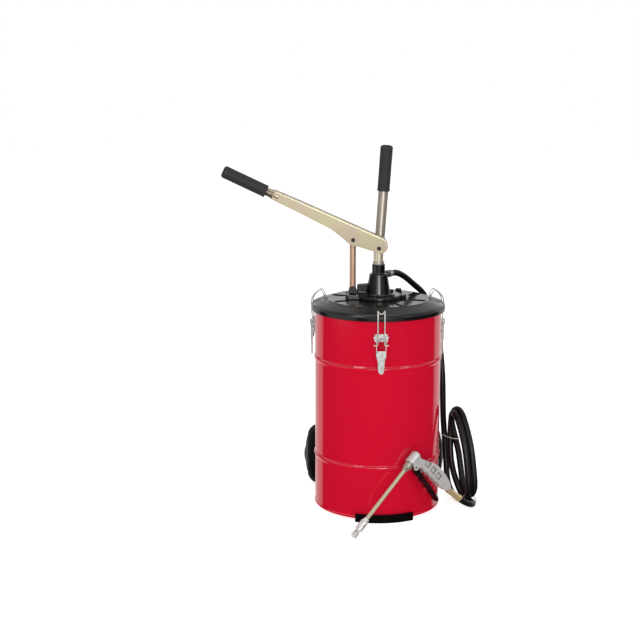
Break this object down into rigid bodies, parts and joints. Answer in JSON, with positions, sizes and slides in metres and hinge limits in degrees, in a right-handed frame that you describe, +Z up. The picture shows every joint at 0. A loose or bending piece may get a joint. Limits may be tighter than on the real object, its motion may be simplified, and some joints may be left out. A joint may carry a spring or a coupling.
{
  "type": "hand operated gear oil pump",
  "caption": "Lever pump on a wheeled crimson oil drum: clamped black lid, piston pump head, steady handle, delivery hose and a trigger gun with lance.",
  "frame": {"origin": "on the drum's axis at floor level, below the middle of the drum", "axes": "+Z up along the drum's axis, -Y towards the front foot and front latch, the lever points to -X and the wheels' axle runs along X"},
  "size_m": [0.6187, 0.4991, 0.8683],
  "materials": {
    "drum_paint": "glossy crimson enamel",
    "lid_black": "satin black enamel on pressed sheet",
    "cast_black": "black painted casting",
    "seal": "black oil-proof rubber",
    "steel": "plain zinc plated steel",
    "dark_steel": "blackened steel",
    "zinc_yellow": "yellow passivated zinc",
    "link_zinc": "pink yellow passivated zinc",
    "pale_zinc": "pale passivated zinc",
    "chrome": "bright plated",
    "grip": "matt moulded grip",
    "alloy": "blasted die casting",
    "trigger": "dark maroon coating",
    "brass": "turned brass",
    "tyre": "solid rubber",
    "hub": "moulded black plastic",
    "hose": "smooth black hose cover",
    "foot": "moulded black rubber"
  },
  "bodies": {
    "drum": {"drum_shell": "drum_paint", "drum_bottom": "drum_paint", "lid": "lid_black", "lid_gasket": "seal", "filler_plug": "hub", "pump_head": "cast_black", "head_bolts": "dark_steel", "gland_packing": "seal", "gland_nut": "pale_zinc", "pump_tube": "steel", "foot_valve_body": "brass", "foot_valve_ball": "steel", "strainer": "steel", "link_base_pin": "dark_steel", "steady_tube": "pale_zinc", "steady_grip": "grip", "steady_bolts": "steel", "outlet_adapter": "steel", "outlet_ball": "steel", "outlet_spring": "steel", "hose_ferrule": "pale_zinc", "latch_base_front": "chrome", "latch_base_left": "chrome", "latch_base_right": "chrome", "latch_pins": "chrome", "axle_brackets": "cast_black", "axle": "dark_steel", "axle_caps": "hub", "front_foot": "foot", "foot_bolts": "steel", "gun_body": "alloy", "gun_head_cap": "alloy", "lance": "zinc_yellow", "lance_nuts": "pale_zinc", "nozzle": "chrome", "gun_swivel": "brass", "hose_run": "hose", "hose_coil": "hose", "hose_lead": "hose"},
    "link": {"fulcrum_link": "link_zinc"},
    "lever": {"lever": "zinc_yellow", "lever_tube": "zinc_yellow", "lever_grip": "grip", "lever_pins": "dark_steel"},
    "rod": {"piston_rod": "chrome", "rod_head": "zinc_yellow", "piston": "steel", "piston_seals": "seal"},
    "wheel_left": {"tyre_left": "tyre", "hub_left": "hub"},
    "wheel_right": {"tyre_right": "tyre", "hub_right": "hub"},
    "trigger": {"gun_trigger": "trigger"},
    "gun_valve": {"gun_valve_pin": "steel"},
    "latch_front": {"latch_lever_front": "chrome"},
    "bail_front": {"latch_bail_front": "chrome"},
    "latch_left": {"latch_lever_left": "chrome"},
    "bail_left": {"latch_bail_left": "chrome"},
    "latch_right": {"latch_lever_right": "chrome"},
    "bail_right": {"latch_bail_right": "chrome"}
  },
  "joints": [
    {"name": "link_sway", "type": "hinge", "parent": "drum", "child": "link", "pos_m": [-0.061, 0, 0.53], "axis": [0, 1, 0], "range_deg": [-2, 2]},
    {"name": "lever_pump", "type": "hinge", "parent": "link", "child": "lever", "pos_m": [-0.061, 0, 0.649], "axis": [0, -1, 0], "range_deg": [0, 45]},
    {"name": "rod_slide", "type": "slide", "parent": "drum", "child": "rod", "axis": [0, 0, 1], "range_m": [0, 0.0495]},
    {"name": "wheel_left_spin", "type": "hinge", "parent": "drum", "child": "wheel_left", "pos_m": [-0.153, 0.16, 0.074], "axis": [1, 0, 0], "continuous": true},
    {"name": "wheel_right_spin", "type": "hinge", "parent": "drum", "child": "wheel_right", "pos_m": [0.153, 0.16, 0.074], "axis": [1, 0, 0], "continuous": true},
    {"name": "trigger_pull", "type": "hinge", "parent": "drum", "child": "trigger", "pos_m": [0.08145, -0.14806, 0.13553], "axis": [0.5353, -0.8379, 0.1068], "range_deg": [0, 9], "stiffness_Nm_per_rad": 1.2, "springref_deg": -14.32},
    {"name": "valve_slide", "type": "slide", "parent": "drum", "child": "gun_valve", "axis": [0.6095, 0.4707, 0.6379], "range_m": [0, 0.0034]},
    {"name": "latch_front_open", "type": "hinge", "parent": "drum", "child": "latch_front", "pos_m": [0, -0.16, 0.447], "axis": [-1, 0, 0], "range_deg": [0, 95]},
    {"name": "bail_front_swing", "type": "hinge", "parent": "latch_front", "child": "bail_front", "pos_m": [0, -0.157, 0.428], "axis": [-1, 0, 0], "range_deg": [-119, 0]},
    {"name": "latch_left_open", "type": "hinge", "parent": "drum", "child": "latch_left", "pos_m": [-0.15455, 0.04141, 0.447], "axis": [0.2588, 0.9659, 0], "range_deg": [0, 95]},
    {"name": "bail_left_swing", "type": "hinge", "parent": "latch_left", "child": "bail_left", "pos_m": [-0.15165, 0.04063, 0.428], "axis": [0.2588, 0.9659, 0], "range_deg": [-119, 0]},
    {"name": "latch_right_open", "type": "hinge", "parent": "drum", "child": "latch_right", "pos_m": [0.15455, 0.04141, 0.447], "axis": [0.2588, -0.9659, 0], "range_deg": [0, 95]},
    {"name": "bail_right_swing", "type": "hinge", "parent": "latch_right", "child": "bail_right", "pos_m": [0.15165, 0.04063, 0.428], "axis": [0.2588, -0.9659, 0], "range_deg": [-119, 0]}
  ],
  "couplings": [
    {"joint": "link_sway", "follows": "lever_pump", "ratio": 0.02},
    {"joint": "rod_slide", "follows": "lever_pump", "m_per_rad": 0.0614},
    {"joint": "valve_slide", "follows": "trigger_pull", "m_per_rad": 0.021},
    {"joint": "bail_front_swing", "follows": "latch_front_open", "ratio": -1.25},
    {"joint": "bail_left_swing", "follows": "latch_left_open", "ratio": -1.25},
    {"joint": "bail_right_swing", "follows": "latch_right_open", "ratio": -1.25}
  ]
}
